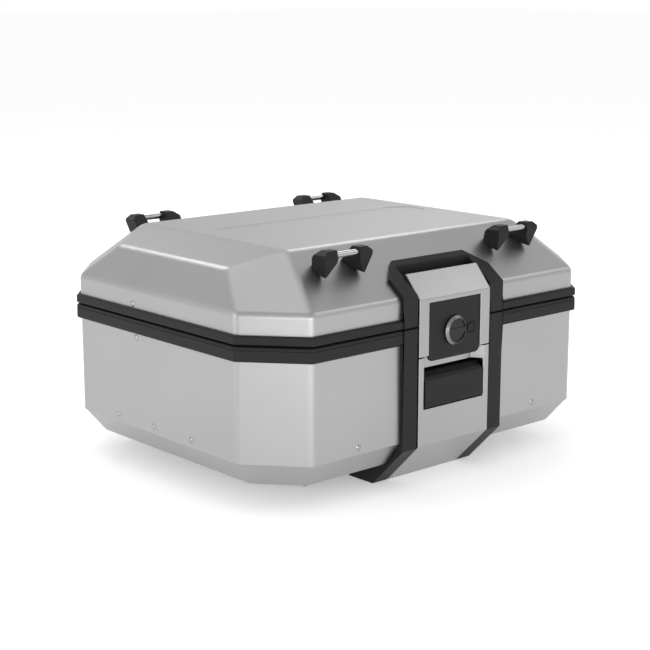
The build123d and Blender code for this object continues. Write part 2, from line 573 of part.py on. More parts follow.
cheek = profile_x(cheek_outline, COVER_HALF - 2, COVER_HALF)
cheek += rod_x(flap_y, flap_z, FLAP_EAR - 1, COVER_HALF - 6, COVER_HALF)
cover += both_sides(cheek)
cover -= rod_x(flap_y, flap_z, FLAP_PIN_R + RUNNING, -COVER_HALF - 1, COVER_HALF + 1)
PLATE_HALF = 38.5
PLATE_BOTTOM, PLATE_TOP = 136.5, 199.0
GAP = 0.4
cover -= block(-PLATE_HALF - GAP, PLATE_HALF + GAP, -HALF_DEPTH - 5, COVER_FRONT + 6, 0, PLATE_TOP + GAP)
save("latch_cover", cover)

PLATE_FRONT = COVER_FRONT + 1.0
PLATE_SHEET = 3.0
plate = block(-PLATE_HALF, PLATE_HALF, PLATE_FRONT, PLATE_FRONT + PLATE_SHEET, PLATE_BOTTOM, PLATE_TOP)
lower_corners = plate.edges().filter_by(Axis.Y).group_by(Axis.Z)[0]
plate = fillet(lower_corners, 6.0)
# Carrier behind the plate, wider than the cover's window, that holds plate and cover together
carrier_front = COVER_FRONT + COVER_SHEET
CARRIER_BACK = -196.0
plate += block(-PLATE_HALF - 8, PLATE_HALF + 8, carrier_front, CARRIER_BACK, COVER_BOTTOM + 2, COVER_BEND - 3)
BARREL_R, BARREL_END = 12.5, -184.0
plate += rod_y(0, DIAL_Z, BARREL_R, CARRIER_BACK - 1, BARREL_END)
STEM_R = 8.0
plate -= rod_y(0, DIAL_Z, STEM_R + RUNNING, -HALF_DEPTH - 5, BARREL_END + 1)
# Thumb recess beside the dial
plate -= block(18.5, 31, PLATE_FRONT - 1, PLATE_FRONT + 1.0, DIAL_Z - 6, DIAL_Z + 6)
save("lock_plate", plate)
tab = block(20, 29.5, PLATE_FRONT - 0.6, PLATE_FRONT + 1.0, DIAL_Z - 3.5, DIAL_Z + 3.5)
save("shutter_tab", tab)

# ---------------------------------------------------------------- lock dial and cam
dial = rod_y(0, DIAL_Z, DIAL_R, DIAL_FRONT, PLATE_FRONT - 0.3)
dial = chamfer(dial.edges().group_by(Axis.Y)[0], 2.6)
dial -= rod_y(0, DIAL_Z, DIAL_R - 4.2, DIAL_FRONT - 1, DIAL_FRONT + 1.2)
grip = block(-DIAL_R + 3, DIAL_R - 3, DIAL_FRONT + 0.2, DIAL_FRONT + 2, DIAL_Z - 2.6, DIAL_Z + 2.6)
dial += grip
STEM_END = BARREL_END + 3.2
dial += rod_y(0, DIAL_Z, STEM_R, PLATE_FRONT - 1, BARREL_END + 0.4)
dial += rod_y(0, DIAL_Z, 4.0, BARREL_END, STEM_END)
save("lock_dial", dial)

CAM_REACH = 24.0
cam = block(-4, 4, BARREL_END + 0.6, STEM_END, DIAL_Z - CAM_REACH, DIAL_Z + CAM_REACH)
cam = fillet(cam.edges().filter_by(Axis.Y), 3.5)
cam += rod_y(0, DIAL_Z, 7.0, BARREL_END + 0.6, STEM_END)
cam -= rod_y(0, DIAL_Z, 4.0, BARREL_END - 1, STEM_END + 1)
save("lock_cam", cam)
nut = Pos(0, STEM_END + 1.5, DIAL_Z) * Rot(90, 0, 0) * extrude(RegularPolygon(6.5, 6), 1.5, both=True)
save("cam_nut", nut)

# ---------------------------------------------------------------- striker
EAR_X = (19.0, 21.5)
ear_front, ear_back = BARREL_END - 2.0, POCKET_BACK - POCKET_WALL
striker = block(-EAR_X[1], EAR_X[1], ear_back - 2.5, ear_back, 140, BASE_TOP - 1)
ears = block(*EAR_X, ear_front, ear_back, 140, BASE_TOP - 1) + block(
    -EAR_X[1], -EAR_X[0], ear_front, ear_back, 140, BASE_TOP - 1)
striker += ears
window_y = (BARREL_END + 0.1, STEM_END + 0.6)
SWEEP = sqrt((CAM_REACH + 0.5) ** 2 - EAR_X[0] ** 2)
# Each ear's window is open on the side that the cam's tongue sweeps in from
striker -= block(EAR_X[0] - 1, EAR_X[1] + 1, *window_y, DIAL_Z - 4.8, BASE_TOP)
striker -= block(-EAR_X[1] - 1, -EAR_X[0] + 1, *window_y, DIAL_Z - SWEEP - 1, DIAL_Z + 4.8)
STRIKER_SCREWS = [(-12.0, 148.0), (12.0, 148.0)]
striker_screws = Part()
for x, z in STRIKER_SCREWS:
    striker -= rod_y(x, z, RIVET_R, ear_back - 4, ear_back + 1)
    striker_screws += rod_y(x, z, RIVET_R, ear_back - 2.5, ear_back) + rod_y(x, z, 3.6, ear_back - 4.5, ear_back - 2.5)
save("striker", striker)
save("striker_screws", striker_screws)

# ---------------------------------------------------------------- rear hinges
LEAF = 2.2
leaf_y = HALF_DEPTH + 0.2
wall_y = HALF_DEPTH - BASE_INSET
base_leaf_outline = [(wall_y, 128), (wall_y, 157.5), (leaf_y, 158.6), (leaf_y, 169), (HINGE_Y - 1.2, HINGE_Z - 2)]
base_leaf_outline += [(HINGE_Y + 2, HINGE_Z - 3.5), (leaf_y + LEAF, 167), (leaf_y + LEAF, 157.5)]
base_leaf_outline += [(wall_y + LEAF, 156.3), (wall_y + LEAF, 128)]
lid_wall_y = HALF_DEPTH - LID_INSET
lid_leaf_outline = [(lid_wall_y, 203), (lid_wall_y, 187.6), (leaf_y, 186.6), (leaf_y, 182), (HINGE_Y - 1.2, HINGE_Z + 2)]
lid_leaf_outline += [(HINGE_Y + 2, HINGE_Z + 3.5), (leaf_y + LEAF, 184), (leaf_y + LEAF, 187.4)]
lid_leaf_outline += [(lid_wall_y + LEAF, 188.8), (lid_wall_y + LEAF, 203)]
LEAF_HALF, KNUCKLE_HALF, END_GAP = 30.0, 24.0, 0.4
MIDDLE_HALF = 9.0
hinge_rivets_base = Part()
hinge_rivets_lid = Part()
for side, sign in SIDES.items():
    centre = sign * HINGE_X
    base_leaf = profile_x(base_leaf_outline, -LEAF_HALF, LEAF_HALF)
    base_leaf += rod_x(HINGE_Y, HINGE_Z, KNUCKLE_R, -KNUCKLE_HALF, KNUCKLE_HALF)
    clear = MIDDLE_HALF + END_GAP
    base_leaf -= block(-clear, clear, leaf_y - 1, HINGE_Y + 6, 168, HINGE_Z + 6)
    base_leaf -= block(-LEAF_HALF - 1, -KNUCKLE_HALF, leaf_y - 1, HINGE_Y + 6, 168, HINGE_Z + 6)
    base_leaf -= block(KNUCKLE_HALF, LEAF_HALF + 1, leaf_y - 1, HINGE_Y + 6, 168, HINGE_Z + 6)
    base_leaf -= rod_x(HINGE_Y, HINGE_Z, HINGE_PIN_R, -LEAF_HALF - 1, LEAF_HALF + 1)
    lid_leaf = profile_x(lid_leaf_outline, -LEAF_HALF, LEAF_HALF)
    lid_leaf -= block(-LEAF_HALF - 1, -MIDDLE_HALF, leaf_y - 1, HINGE_Y + 6, HINGE_Z - 6, 183)
    lid_leaf -= block(MIDDLE_HALF, LEAF_HALF + 1, leaf_y - 1, HINGE_Y + 6, HINGE_Z - 6, 183)
    lid_leaf += rod_x(HINGE_Y, HINGE_Z, KNUCKLE_R, -MIDDLE_HALF, MIDDLE_HALF)
    lid_leaf -= rod_x(HINGE_Y, HINGE_Z, HINGE_PIN_R + RUNNING, -LEAF_HALF - 1, LEAF_HALF + 1)
    pin = rod_x(HINGE_Y, HINGE_Z, HINGE_PIN_R, -KNUCKLE_HALF - 0.2, KNUCKLE_HALF + 0.2)
    pin += both_sides(rod_x(HINGE_Y, HINGE_Z, HINGE_PIN_R + 1, KNUCKLE_HALF + 0.1, KNUCKLE_HALF + 1.4))
    low, high = HINGE_RIVET_Z
    for x in HINGE_RIVET_X:
        base_leaf -= rod_y(x, low, RIVET_R, wall_y - 5, wall_y + 5)
        lid_leaf -= rod_y(x, high, RIVET_R, lid_wall_y - 5, lid_wall_y + 5)
        hinge_rivets_base += wall_rivet(centre + x, wall_y + LEAF, 0, 1, low, 0, LEAF + SHEET)
        hinge_rivets_lid += wall_rivet(centre + x, lid_wall_y + LEAF, 0, 1, high, 0, LEAF + SHEET)
    save(f"hinge_base_leaf_{side}", Pos(centre, 0, 0) * base_leaf)
    save(f"hinge_lid_leaf_{side}", Pos(centre, 0, 0) * lid_leaf)
    save(f"hinge_pin_{side}", Pos(centre, 0, 0) * pin)
save("hinge_rivets_base", hinge_rivets_base)
save("hinge_rivets_lid", hinge_rivets_lid)

# ---------------------------------------------------------------- lid straps
fold = (80.0, (STRAP_BASE[1] + STRAP_LID[1]) / 2)
half_width = STRAP_WIDTH / 2
strap_outline = [(STRAP_BASE[0] - half_width, STRAP_BASE[1] - half_width + 3)]
strap_outline += [(STRAP_BASE[0] + half_width, STRAP_BASE[1] - half_width), (fold[0] + 8, fold[1] - 8)]
strap_outline += [(fold[0] + 8, fold[1] + 8), (STRAP_LID[0] + half_width, STRAP_LID[1] + half_width)]
strap_outline += [(STRAP_LID[0] - half_width, STRAP_LID[1] + half_width - 3), (STRAP_LID[0] - half_width + 2, STRAP_LID[1] - 6)]
strap_outline += [(fold[0] - 14, fold[1]), (STRAP_BASE[0] - half_width + 2, STRAP_BASE[1] + 6)]
strap_rivets_base = Part()
strap_rivets_lid = Part()
for side, sign in SIDES.items():
    x0 = sign * STRAP_X
    x1 = x0 + sign * STRAP_SHEET
    strap = profile_x(strap_outline, min(x0, x1), max(x0, x1))
    for y, z in (STRAP_BASE, STRAP_LID):
        strap -= rod_x(y, z, RIVET_R, x0 - 5, x0 + 5)
    save(f"lid_strap_{side}", strap)
    outer_base = HALF_LENGTH - BASE_INSET
    outer_lid = HALF_LENGTH - LID_INSET
    strap_rivets_base += wall_rivet(sign * outer_base, STRAP_BASE[0], sign, 0, STRAP_BASE[1], 0, outer_base - STRAP_X)
    strap_rivets_lid += wall_rivet(sign * outer_lid, STRAP_LID[0], sign, 0, STRAP_LID[1], 0, outer_lid - STRAP_X)
save("strap_rivets_base", strap_rivets_base)
save("strap_rivets_lid", strap_rivets_lid)
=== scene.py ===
"""Aluminium motorcycle top case, put together in the order it is built: shell, rims, lid, latch, fittings."""
import json
import math

import bmesh
import bpy
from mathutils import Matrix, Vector

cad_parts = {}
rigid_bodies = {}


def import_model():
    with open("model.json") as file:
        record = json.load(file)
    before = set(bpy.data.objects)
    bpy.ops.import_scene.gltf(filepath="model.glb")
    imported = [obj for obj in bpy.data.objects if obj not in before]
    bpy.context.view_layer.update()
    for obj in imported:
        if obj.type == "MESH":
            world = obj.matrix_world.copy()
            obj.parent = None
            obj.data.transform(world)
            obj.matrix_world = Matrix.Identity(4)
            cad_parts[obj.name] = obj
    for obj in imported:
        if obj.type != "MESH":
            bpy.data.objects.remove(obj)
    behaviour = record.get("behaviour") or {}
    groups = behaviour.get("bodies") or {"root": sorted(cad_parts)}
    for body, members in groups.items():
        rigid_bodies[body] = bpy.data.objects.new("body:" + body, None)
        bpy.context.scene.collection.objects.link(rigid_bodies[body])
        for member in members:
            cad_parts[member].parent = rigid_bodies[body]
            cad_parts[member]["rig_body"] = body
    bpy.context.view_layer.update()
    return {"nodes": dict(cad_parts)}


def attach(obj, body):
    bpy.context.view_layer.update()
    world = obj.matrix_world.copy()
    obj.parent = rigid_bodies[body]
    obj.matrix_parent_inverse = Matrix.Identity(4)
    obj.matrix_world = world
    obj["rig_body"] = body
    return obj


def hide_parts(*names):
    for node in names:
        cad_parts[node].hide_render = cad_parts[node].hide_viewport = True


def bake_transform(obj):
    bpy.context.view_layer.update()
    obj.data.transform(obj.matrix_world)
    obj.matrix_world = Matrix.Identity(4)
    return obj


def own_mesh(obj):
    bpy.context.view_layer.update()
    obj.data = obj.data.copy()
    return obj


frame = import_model()

# ------------------------------------------------------------------ sheet aluminium
# The case's walls, pan and lid are 2 mm sheet, bead blasted and clear anodised to an even satin.
# The helpers below are the language every finish in this file is written in.
MM = 0.001


class Value:
    """A shader socket that can stand in arithmetic."""

    def __init__(self, finish, socket):
        self.finish = finish
        self.socket = socket

    def op(self, operation, *others):
        inputs = dict(enumerate((self, *others)))
        node = self.finish.node("ShaderNodeMath", {"operation": operation}, inputs)
        return Value(self.finish, node.outputs[0])

    def __add__(self, other):
        return self.op("ADD", other)

    def __sub__(self, other):
        return self.op("SUBTRACT", other)

    def __mul__(self, other):
        return self.op("MULTIPLY", other)

    def __truediv__(self, other):
        return self.op("DIVIDE", other)

    def __rsub__(self, other):
        return (self * -1.0) + other

    __radd__ = __add__
    __rmul__ = __mul__


class Finish:
    """A procedural material. Its patterns sit in the case's own frame, so they don't stretch."""

    def __init__(self, name, **constants):
        self.material = bpy.data.materials.new(name)
        self.material.use_nodes = True
        self.tree = self.material.node_tree
        self.tree.nodes.clear()
        self.shader = self.node("ShaderNodeBsdfPrincipled")
        self.node("ShaderNodeOutputMaterial", inputs={"Surface": Value(self, self.shader.outputs[0])})
        self.place = Value(self, self.node("ShaderNodeTexCoord").outputs["Object"])
        self.set(**constants)

    def node(self, kind, settings=None, inputs=None):
        made = self.tree.nodes.new(kind)
        for key, value in (settings or {}).items():
            setattr(made, key, value)
        for key, value in (inputs or {}).items():
            self.feed(made.inputs[key], value)
        return made

    def feed(self, socket, value):
        if isinstance(value, Value):
            self.tree.links.new(value.socket, socket)
        elif hasattr(value, "__len__") and len(value) == 3 and socket.type == "RGBA":
            socket.default_value = (*value, 1)
        else:
            socket.default_value = value

    def set(self, **inputs):
        for key, value in inputs.items():
            self.feed(self.shader.inputs[key.replace("_", " ")], value)
        return self

    def stretched(self, by):
        scaled = self.node("ShaderNodeVectorMath", {"operation": "MULTIPLY"}, {0: self.place, 1: by})
        return Value(self, scaled.outputs[0])

    def noise(self, scale, detail=3.0, rough=0.55, by=(1, 1, 1)):
        inputs = {"Vector": self.stretched(by), "Scale": scale, "Detail": detail, "Roughness": rough}
        return Value(self, self.node("ShaderNodeTexNoise", {}, inputs).outputs[0])

    def wave(self, scale, axis="X", distortion=0.0):
        settings = {"bands_direction": axis}
        inputs = {"Vector": self.place, "Scale": scale, "Distortion": distortion}
        return Value(self, self.node("ShaderNodeTexWave", settings, inputs).outputs["Fac"])

    def steps(self, value, *stops):
        """A value remapped smoothly from (low, high) to (low, high)."""
        (a, b), (c, d) = stops
        inputs = {"Value": value, "From Min": a, "From Max": b, "To Min": c, "To Max": d}
        node = self.node("ShaderNodeMapRange", {"interpolation_type": "SMOOTHSTEP"}, inputs)
        return Value(self, node.outputs[0])

    def mix(self, factor, first, second):
        node = self.node("ShaderNodeMix", {"data_type": "RGBA"}, {0: factor, 6: first, 7: second})
        return Value(self, node.outputs[2])

    def bump(self, height, depth, strength=1.0):
        inputs = {"Height": height, "Distance": depth * MM, "Strength": strength}
        return Value(self, self.node("ShaderNodeBump", {}, inputs).outputs[0])


sheet = Finish("anodised_sheet", Metallic=1.0)
cloud = sheet.noise(9, 2)
grain = sheet.noise(2600, 2)
handling = sheet.noise(38, 5, 0.7)
sheet.set(Base_Color=sheet.mix(cloud, (0.375, 0.378, 0.382), (0.42, 0.422, 0.425)))
sheet.set(Roughness=0.335 + 0.06 * grain + 0.05 * handling)
sheet.set(Normal=sheet.bump(grain, 0.012, 0.5))

# ------------------------------------------------------------------ base wall
# One long strip of sheet folded into eight sides, with soft press-brake bends at the corners.
# Its top edge sits in the plastic rim and its front is open behind the latch.
HALF_LENGTH, HALF_DEPTH = 250.0, 201.0
CHAMFER_X, CHAMFER_Y = 52.0, 60.0
ORIGIN_Y = -2.6
SHEET = 2.0
POCKET_HALF = 57.0
PAN_BEND, FLANGE_TOP = 53.5, 69.5


def octagon(inset):
    """Corners of the plan moved inwards, anticlockwise from the right rear, in millimetres."""
    slant = math.hypot(CHAMFER_X, CHAMFER_Y)
    x, y = HALF_LENGTH - inset, HALF_DEPTH - inset
    reach = CHAMFER_Y * HALF_LENGTH + CHAMFER_X * HALF_DEPTH - CHAMFER_X * CHAMFER_Y - inset * slant
    quarter = [(x, (reach - CHAMFER_Y * x) / CHAMFER_X), ((reach - CHAMFER_X * y) / CHAMFER_Y, y)]
    half = quarter + [(-px, py) for px, py in reversed(quarter)]
    return half + [(-px, -py) for px, py in half]


def rounded(corners, radius, steps=6):
    """A closed outline with every corner rounded off."""
    path = []
    for before, corner, after in zip(corners[-1:] + corners[:-1], corners, corners[1:] + corners[:1]):
        here = Vector(corner)
        back, on = (Vector(before) - here).normalized(), (Vector(after) - here).normalized()
        half = back.angle(on) / 2
        centre = here + (back + on).normalized() * (radius / math.sin(half))
        first = here + back * (radius / math.tan(half)) - centre
        for step in range(steps + 1):
            angle = math.atan2(first.y, first.x) + (math.pi - 2 * half) * step / steps
            path.append((centre.x + radius * math.cos(angle), centre.y + radius * math.sin(angle)))
    return path


def piece(name, vertices, faces, finish, body, *nodes, crease=30.0, slot=None):
    """A mesh in millimetres becomes a piece that rides on a body and stands for CAD nodes."""
    mesh = bpy.data.meshes.new(name)
    mesh.from_pydata([(x * MM, (y + ORIGIN_Y) * MM, z * MM) for x, y, z in vertices], [], faces)
    return settle(name, mesh, finish, body, *nodes, crease=crease, slot=slot)


def settle(name, mesh, finish, body, *nodes, crease=30.0, slot=None):
    mesh.validate()
    mesh.shade_smooth()
    mesh.set_sharp_from_angle(angle=math.radians(crease))
    mesh.materials.clear()
    mesh.materials.append(finish.material)
    made = bpy.data.objects.new(name, mesh)
    bpy.context.scene.collection.objects.link(made)
    if body:
        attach(made, body)
        flats = made.modifiers.new("flats", "WEIGHTED_NORMAL")
        flats.keep_sharp = True
    if nodes:
        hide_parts(*nodes)
    return made


def lofted(loops, closed_ends=False, closed_rows=False):
    """Vertices and faces of a skin through outlines with equal numbers of points."""
    count = len(loops[0])
    vertices = [point for loop in loops for point in loop]
    rows = range(len(loops) if closed_rows else len(loops) - 1)
    faces = []
    for row in rows:
        low, high = row * count, (row + 1) % len(loops) * count
        for i in range(count):
            j = (i + 1) % count
            faces.append((low + i, low + j, high + j, high + i))
    if closed_ends:
        faces.append(tuple(reversed(range(count))))
        faces.append(tuple(range(len(vertices) - count, len(vertices))))
    return vertices, faces


def block(x0, x1, y0, y1, z0, z1):
    corners = [(x0, y0), (x1, y0), (x1, y1), (x0, y1)]
    return lofted([[(x, y, z) for x, y in corners] for z in (z0, z1)], closed_ends=True)


def carve(vertices, faces, cutters):
    """The mesh of a solid with other solids cut away, in metres."""

    def mesh_of(solid):
        made = bpy.data.meshes.new("solid")
        made.from_pydata([(x * MM, (y + ORIGIN_Y) * MM, z * MM) for x, y, z in solid[0]], [], solid[1])
        work = bmesh.new()
        work.from_mesh(made)
        bmesh.ops.recalc_face_normals(work, faces=work.faces)
        work.to_mesh(made)
        work.free()
        return made

    target = bpy.data.objects.new("target", mesh_of((vertices, faces)))
    bpy.context.scene.collection.objects.link(target)
    tools = []
    for solid in cutters:
        tool = bpy.data.objects.new("tool", mesh_of(solid))
        bpy.context.scene.collection.objects.link(tool)
        cut = target.modifiers.new("cut", "BOOLEAN")
        cut.object, cut.operation, cut.solver = tool, "DIFFERENCE", "EXACT"
        tools.append(tool)
    bpy.context.view_layer.update()
    shaped = target.evaluated_get(bpy.context.evaluated_depsgraph_get())
    mesh = bpy.data.meshes.new_from_object(shaped)
    for used in [target, *tools]:
        bpy.data.objects.remove(used)
    return mesh


def folded_ring(rows, bend):
    """Closed octagonal band of sheet. rows lists (inset, height) round its cross-section."""
    loops = [[(x, y, z) for x, y in rounded(octagon(inset), bend + 4.0 - inset)] for inset, z in rows]
    return lofted(loops, closed_rows=True)


WALL_OUT, WALL_IN = 4.2, 4.2 + SHEET
wall_rows = [(WALL_OUT, PAN_BEND), (WALL_OUT, 168.3), (WALL_IN, 168.3), (WALL_IN, PAN_BEND)]
CASE_FRONT, POCKET_BACK = -230, -166  # the first lies well in front of the case
front_gap = block(-POCKET_HALF, POCKET_HALF, CASE_FRONT, POCKET_BACK, 0, 260)
wall = carve(*folded_ring(wall_rows, 12), [front_gap])
settle("base_wall_sheet", wall, sheet, "base", "base_wall", slot="aluminium_shell")

# ------------------------------------------------------------------ base pan
# The bottom is one pressing: a flat floor, a sloping skirt with softened bends,
# and an upright flange that the wall is riveted to.
FLOOR, FLOOR_TOP = 26.5, 28.7
pan_loops = []
for inset, z in [(90, FLOOR), (28, FLOOR), (25.4, 26.9), (23.9, 28.4), (22.6, 30.2), (6.6, 50.9),
                 (5.2, 52.6), (WALL_OUT, PAN_BEND), (WALL_IN, PAN_BEND), (WALL_IN, FLANGE_TOP),
                 (8.2, FLANGE_TOP), (8.2, 54.5), (26.6, FLOOR_TOP + 0.2), (28, FLOOR_TOP), (90, FLOOR_TOP)]:
    pan_loops.append([(x, y, z) for x, y in rounded(octagon(inset), 16.0 if inset < 80 else 4.0)])
PAN_CUT = -146
pan_gap = block(-POCKET_HALF, POCKET_HALF, CASE_FRONT, PAN_CUT, 0, 260)
pan = carve(*lofted(pan_loops, closed_ends=True), [pan_gap])
settle("base_pan_pressing", pan, sheet, "base", "base_pan", slot="aluminium_shell")

# ------------------------------------------------------------------ lid shell
# Deep pressed lid of the same sheet: upright skirt, steep and gentle end facets, sloping sides
# and a flat top with a shallow stamped strip. All folds are soft.
LID_INSET, LID_SLOT, LID_BEND, LID_TOP = 4.0, 180.0, 207.5, 259.9
TOP_X, TOP_Y, RIDGE_X, RIDGE_Z = 168.5, 126.0, 222.0, 243.8
STRIP = [(-150, 26), (-118, 38), (128, 38), (150, 24), (150, -6), (60, -26), (-60, -26), (-118, -14)]


def lid_form(fold):
    """Faceted lid form, open below, with every fold bevelled round."""
    plan = octagon(LID_INSET)
    (side_x, side_y), (front_x, front_y) = plan[0], plan[1]
    low = Vector((side_x, side_y, LID_BEND))
    bend = Vector((front_x, front_y, LID_BEND))
    top = Vector((TOP_X, TOP_Y, LID_TOP))
    normal = (bend - low).cross(top - low)
    ridge_y = low.y - (normal.x * (RIDGE_X - low.x) + normal.z * (RIDGE_Z - low.z)) / normal.y
    form = bmesh.new()
    skirt = [form.verts.new((x, y, LID_SLOT)) for x, y in plan]
    waist = [form.verts.new((x, y, LID_BEND)) for x, y in plan]
    signs = [(1, 1), (-1, 1), (-1, -1), (1, -1)]
    crown = [form.verts.new((sx * TOP_X, sy * TOP_Y, LID_TOP)) for sx, sy in signs]
    ridge = [form.verts.new((sx * RIDGE_X, sy * ridge_y, RIDGE_Z)) for sx, sy in signs]
    for i in range(8):
        j = (i + 1) % 8
        form.faces.new((skirt[i], skirt[j], waist[j], waist[i]))
    ends = [(0, 1), (3, 2), (4, 5), (7, 6)]
    for corner, (side, front) in enumerate(ends):
        form.faces.new((waist[side], waist[front], crown[corner], ridge[corner]))
    form.faces.new((waist[1], waist[2], crown[1], crown[0]))
    form.faces.new((waist[5], waist[6], crown[3], crown[2]))
    for side, (a, b, first, second) in enumerate([(7, 0, 3, 0), (3, 4, 1, 2)]):
        form.faces.new((waist[a], waist[b], ridge[second], ridge[first]))
        form.faces.new((ridge[first], ridge[second], crown[second], crown[first]))
    form.faces.new(crown)
    bmesh.ops.recalc_face_normals(form, faces=form.faces)
    folds = [edge for edge in form.edges if len(edge.link_faces) == 2]
    bmesh.ops.bevel(form, geom=folds, offset=fold, segments=5, profile=0.5,
                    affect="EDGES", clamp_overlap=True)
    bmesh.ops.solidify(form, geom=form.faces[:], thickness=SHEET)
    bmesh.ops.recalc_face_normals(form, faces=form.faces)
    form.verts.index_update()
    vertices = [tuple(v.co) for v in form.verts]
    faces = [tuple(v.index for v in face.verts) for face in form.faces]
    form.free()
    return vertices, faces


def grown(outline, by):
    centre = sum((Vector(p) for p in outline), Vector((0, 0))) / len(outline)
    return [tuple(centre + (Vector(p) - centre) * (1 + by / (Vector(p) - centre).length)) for p in outline]


STRIP_DEPTH, STRIP_FLARE, LID_FOLD = 0.9, 4, 4.5
strip_floor = [(x, y, LID_TOP - STRIP_DEPTH) for x, y in STRIP]
strip_mouth = [(x, y, LID_TOP + STRIP_DEPTH) for x, y in grown(STRIP, STRIP_FLARE)]
strip_tool = lofted([strip_floor, strip_mouth], closed_ends=True)
LATCH_GAP_BACK = -161.5
latch_gap = block(-POCKET_HALF, POCKET_HALF, CASE_FRONT, LATCH_GAP_BACK, 170, 262)
lid = carve(*lid_form(LID_FOLD), [latch_gap, strip_tool])
# a low crease angle keeps the shallow slope round the strip crisp and the folds smooth
settle("lid_pressing", lid, sheet, "lid", "lid_shell", crease=14, slot="aluminium_shell")

# ------------------------------------------------------------------ rims
# Two glass-filled nylon mouldings, one on each half, hold the sheet edges and meet at the parting line.
# The surface is fine spark-eroded grain, a little glossier where it has been handled.
moulding = Finish("charcoal_moulding", Specular_IOR_Level=0.22)
pores = moulding.noise(1900, 2)
wear = moulding.noise(26, 4, 0.65)
moulding.set(Base_Color=moulding.mix(wear, (0.007, 0.0074, 0.008), (0.014, 0.0144, 0.0155)))
moulding.set(Roughness=0.44 + 0.10 * pores + 0.06 * wear)
moulding.set(Normal=moulding.bump(pores, 0.03, 0.6))


def crafted(node, finish, edge=0.5, angle=32.0, crease=30.0, slot=None, segments=2, clamp=True):
    """A CAD piece with the edges broken as a real tool would: flats merged and corners rounded.

    With clamp the rounding shrinks to suit the shortest edge. Without it every edge gets all of it.
    """
    source = frame["nodes"][node]
    work = bmesh.new()
    work.from_mesh(source.data)
    bmesh.ops.remove_doubles(work, verts=work.verts, dist=2e-6)
    bmesh.ops.dissolve_limit(work, angle_limit=math.radians(0.8), verts=work.verts, edges=work.edges)
    if edge:
        limit = math.radians(angle)
        sharp = [e for e in work.edges if len(e.link_faces) == 2 and e.calc_face_angle(0) > limit]
        bmesh.ops.bevel(work, geom=sharp, offset=edge * MM, segments=segments, profile=0.5,
                        affect="EDGES", clamp_overlap=clamp)
    mesh = bpy.data.meshes.new(node)
    work.to_mesh(mesh)
    work.free()
    return settle(node + "_made", mesh, finish, source["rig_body"], node, crease=crease, slot=slot)


crafted("base_rim", moulding, 0, crease=40, slot="black_moulding")
crafted("lid_rim", moulding, 0, crease=40, slot="black_moulding")

# ------------------------------------------------------------------ lid seal
# A soft EPDM cord pressed into the lid rim's groove, standing a millimetre proud of it.
rubber = Finish("seal_rubber", Specular_IOR_Level=0.3)
bloom = rubber.noise(60, 4)
rubber.set(Base_Color=rubber.mix(bloom, (0.012, 0.012, 0.013), (0.026, 0.026, 0.027)))
rubber.set(Roughness=0.62 + 0.12 * bloom)
rubber.set(Normal=rubber.bump(rubber.noise(700, 2), 0.04, 0.5))
crafted("lid_seal", rubber, 0.6, slot="seal")

# ------------------------------------------------------------------ latch housings
# The black frame round the latch is two mouldings split at the parting line. The upper one runs over
# the lid's front facet with cut-off corners, and the lower one is a pair of rails that wrap under.
crafted("lid_latch_housing", moulding, 1.0, segments=3, clamp=False, slot="black_moulding")
crafted("base_latch_housing", moulding, 1.0, segments=3, clamp=False, slot="black_moulding")

# ------------------------------------------------------------------ latch silver parts
# Cover and lower panel are die-cast, painted silver and a shade smoother than the sheet,
# with a bright break along every fold and window.
silver = Finish("silver_casting", Metallic=1.0)
flake = silver.noise(3200, 1)
tone = silver.noise(14, 2)
silver.set(Base_Color=silver.mix(tone, (0.355, 0.358, 0.362), (0.40, 0.402, 0.405)))
silver.set(Roughness=0.30 + 0.08 * flake)
silver.set(Normal=silver.bump(flake, 0.01, 0.4))
crafted("latch_cover", silver, 0.8, angle=24, segments=3, clamp=False, slot="latch_silver")
crafted("lower_panel", silver, 0.8, angle=24, segments=3, clamp=False, slot="latch_silver")

# ------------------------------------------------------------------ lock plate and dial
# A charcoal plate fills the cover's window. The dial is a satin black knob with a polished bevel.
# A small tab beside it slides over the key slot.
crafted("lock_plate", moulding, 0.6, segments=3, clamp=False, slot="black_moulding")
crafted("shutter_tab", moulding, 0.3, slot="black_moulding")
knob = Finish("dial_black", Specular_IOR_Level=0.25, Coat_Weight=0.08, Coat_Roughness=0.2)
rub = knob.noise(90, 4)
knob.set(Base_Color=knob.mix(rub, (0.007, 0.007, 0.008), (0.014, 0.014, 0.015)))
knob.set(Roughness=0.26 + 0.12 * rub)
knob.set(Normal=knob.bump(knob.noise(1500, 2), 0.01, 0.4))
dial = crafted("lock_dial", knob, 0.4, slot="dial_black")
bevel = Finish("dial_bevel", Metallic=1.0)
scuff = bevel.noise(240, 4)
bevel.set(Base_Color=bevel.mix(scuff, (0.16, 0.16, 0.165), (0.30, 0.30, 0.30)))
bevel.set(Roughness=0.2 + 0.14 * scuff)
bevel.set(Normal=bevel.bump(scuff, 0.01, 0.4))
DIAL_Z, BEVEL_INNER = 165.5, 13.1
dial.data.materials.append(bevel.material)
for face in dial.data.polygons:
    slanted = -0.95 < face.normal.y < -0.3
    if slanted and math.hypot(face.center.x, face.center.z - DIAL_Z * MM) > BEVEL_INNER * MM:
        face.material_index = 1

# ------------------------------------------------------------------ steel fittings
# Cam, striker, bolt and screws are zinc plated steel: dull, faintly mottled and never seen when closed.
zinc = Finish("zinc_plate", Metallic=1.0)
mottle = zinc.noise(120, 4, 0.7)
zinc.set(Base_Color=zinc.mix(mottle, (0.50, 0.50, 0.47), (0.62, 0.62, 0.60)))
zinc.set(Roughness=0.30 + 0.2 * mottle)
zinc.set(Normal=zinc.bump(mottle, 0.03, 0.4))
for node in ("lock_cam", "cam_nut", "striker", "striker_screws", "mount_bolt", "foot_screws", "cleat_screws"):
    crafted(node, zinc, 0.3, slot="zinc_steel")

